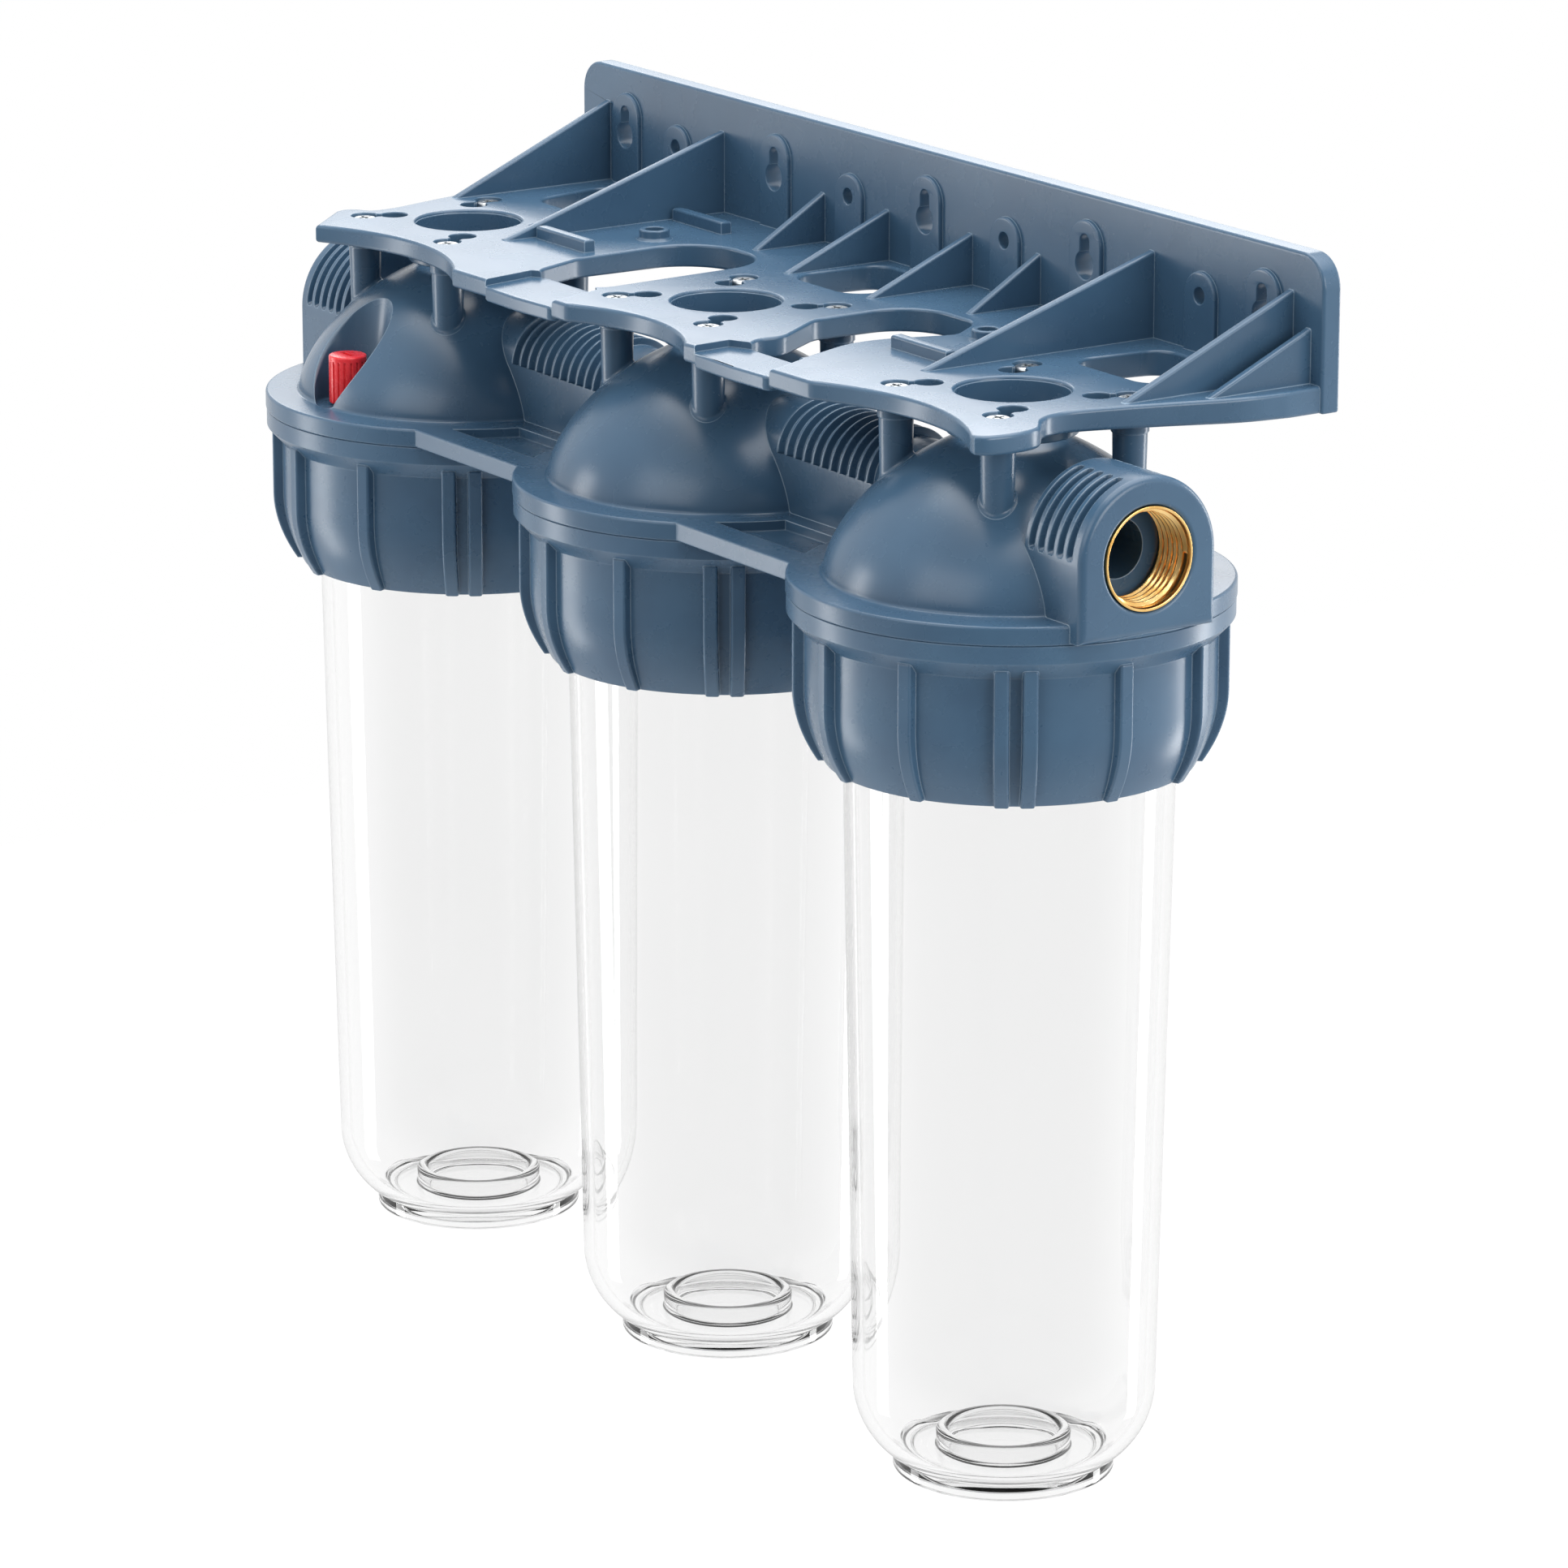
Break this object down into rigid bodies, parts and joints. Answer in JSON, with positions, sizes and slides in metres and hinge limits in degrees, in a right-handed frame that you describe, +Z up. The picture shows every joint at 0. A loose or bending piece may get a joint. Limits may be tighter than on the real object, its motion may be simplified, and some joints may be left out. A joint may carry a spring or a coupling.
{
  "type": "water filter housing",
  "caption": "Wall-hung water filter housing: a slotted bracket over joined plastic heads with brass threaded ports, clear bowls on ribbed union nuts and a red vent screw.",
  "frame": {"origin": "on the bracket's wall face, level with the top of its shelf, in line with the middle head", "axes": "+X along the row from the inlet to the outlet, +Y into the wall, +Z up"},
  "size_m": [0.3908, 0.1339, 0.3347],
  "materials": {
    "slate_blue_plastic": "semi-gloss moulded, slate blue, faint mould texture",
    "slate_blue_head_plastic": "semi-gloss moulded, slate blue",
    "slate_blue_nut_plastic": "satin moulded, slate blue",
    "pale_zinc_steel": "pale zinc plating",
    "polished_brass": "machined and polished",
    "clear_bowl_plastic": "clear, polished, colourless",
    "red_vent_plastic": "glossy red",
    "black_rubber": "matt black"
  },
  "bodies": {
    "housing": {"wall_bracket": "slate_blue_plastic", "manifold_head": "slate_blue_head_plastic", "inlet_insert": "polished_brass", "outlet_insert": "polished_brass", "bracket_screw_1": "pale_zinc_steel", "bracket_screw_2": "pale_zinc_steel", "bracket_screw_3": "pale_zinc_steel", "bracket_screw_4": "pale_zinc_steel", "bracket_screw_5": "pale_zinc_steel", "bracket_screw_6": "pale_zinc_steel", "bracket_screw_7": "pale_zinc_steel", "bracket_screw_8": "pale_zinc_steel", "bracket_screw_9": "pale_zinc_steel", "bracket_screw_10": "pale_zinc_steel", "bracket_screw_11": "pale_zinc_steel", "bracket_screw_12": "pale_zinc_steel", "vent_seal": "black_rubber"},
    "bowl_1": {"bowl_1": "clear_bowl_plastic", "bowl_seal_1": "black_rubber"},
    "nut_1": {"union_nut_1": "slate_blue_nut_plastic"},
    "bowl_2": {"bowl_2": "clear_bowl_plastic", "bowl_seal_2": "black_rubber"},
    "nut_2": {"union_nut_2": "slate_blue_nut_plastic"},
    "bowl_3": {"bowl_3": "clear_bowl_plastic", "bowl_seal_3": "black_rubber"},
    "nut_3": {"union_nut_3": "slate_blue_nut_plastic"},
    "vent_screw": {"vent_screw": "red_vent_plastic"}
  },
  "joints": [
    {"name": "bowl_1_drop", "type": "slide", "parent": "housing", "child": "bowl_1", "axis": [0, 0, -1], "range_m": [0, 0.024]},
    {"name": "nut_1_turn", "type": "hinge", "parent": "bowl_1", "child": "nut_1", "pos_m": [-0.135, -0.0742, -0.077], "axis": [0, 0, -1], "range_deg": [0, 1440]},
    {"name": "bowl_2_drop", "type": "slide", "parent": "housing", "child": "bowl_2", "axis": [0, 0, -1], "range_m": [0, 0.024]},
    {"name": "nut_2_turn", "type": "hinge", "parent": "bowl_2", "child": "nut_2", "pos_m": [0, -0.0742, -0.077], "axis": [0, 0, -1], "range_deg": [0, 1440]},
    {"name": "bowl_3_drop", "type": "slide", "parent": "housing", "child": "bowl_3", "axis": [0, 0, -1], "range_m": [0, 0.024]},
    {"name": "nut_3_turn", "type": "hinge", "parent": "bowl_3", "child": "nut_3", "pos_m": [0.135, -0.0742, -0.077], "axis": [0, 0, -1], "range_deg": [0, 1440]},
    {"name": "vent_turn", "type": "hinge", "parent": "housing", "child": "vent_screw", "pos_m": [-0.135, -0.1157, -0.045], "axis": [0, 0, 1], "range_deg": [0, 540]}
  ],
  "couplings": [
    {"joint": "bowl_1_drop", "follows": "nut_1_turn", "m_per_rad": 0.0009549},
    {"joint": "bowl_2_drop", "follows": "nut_2_turn", "m_per_rad": 0.0009549},
    {"joint": "bowl_3_drop", "follows": "nut_3_turn", "m_per_rad": 0.0009549}
  ]
}
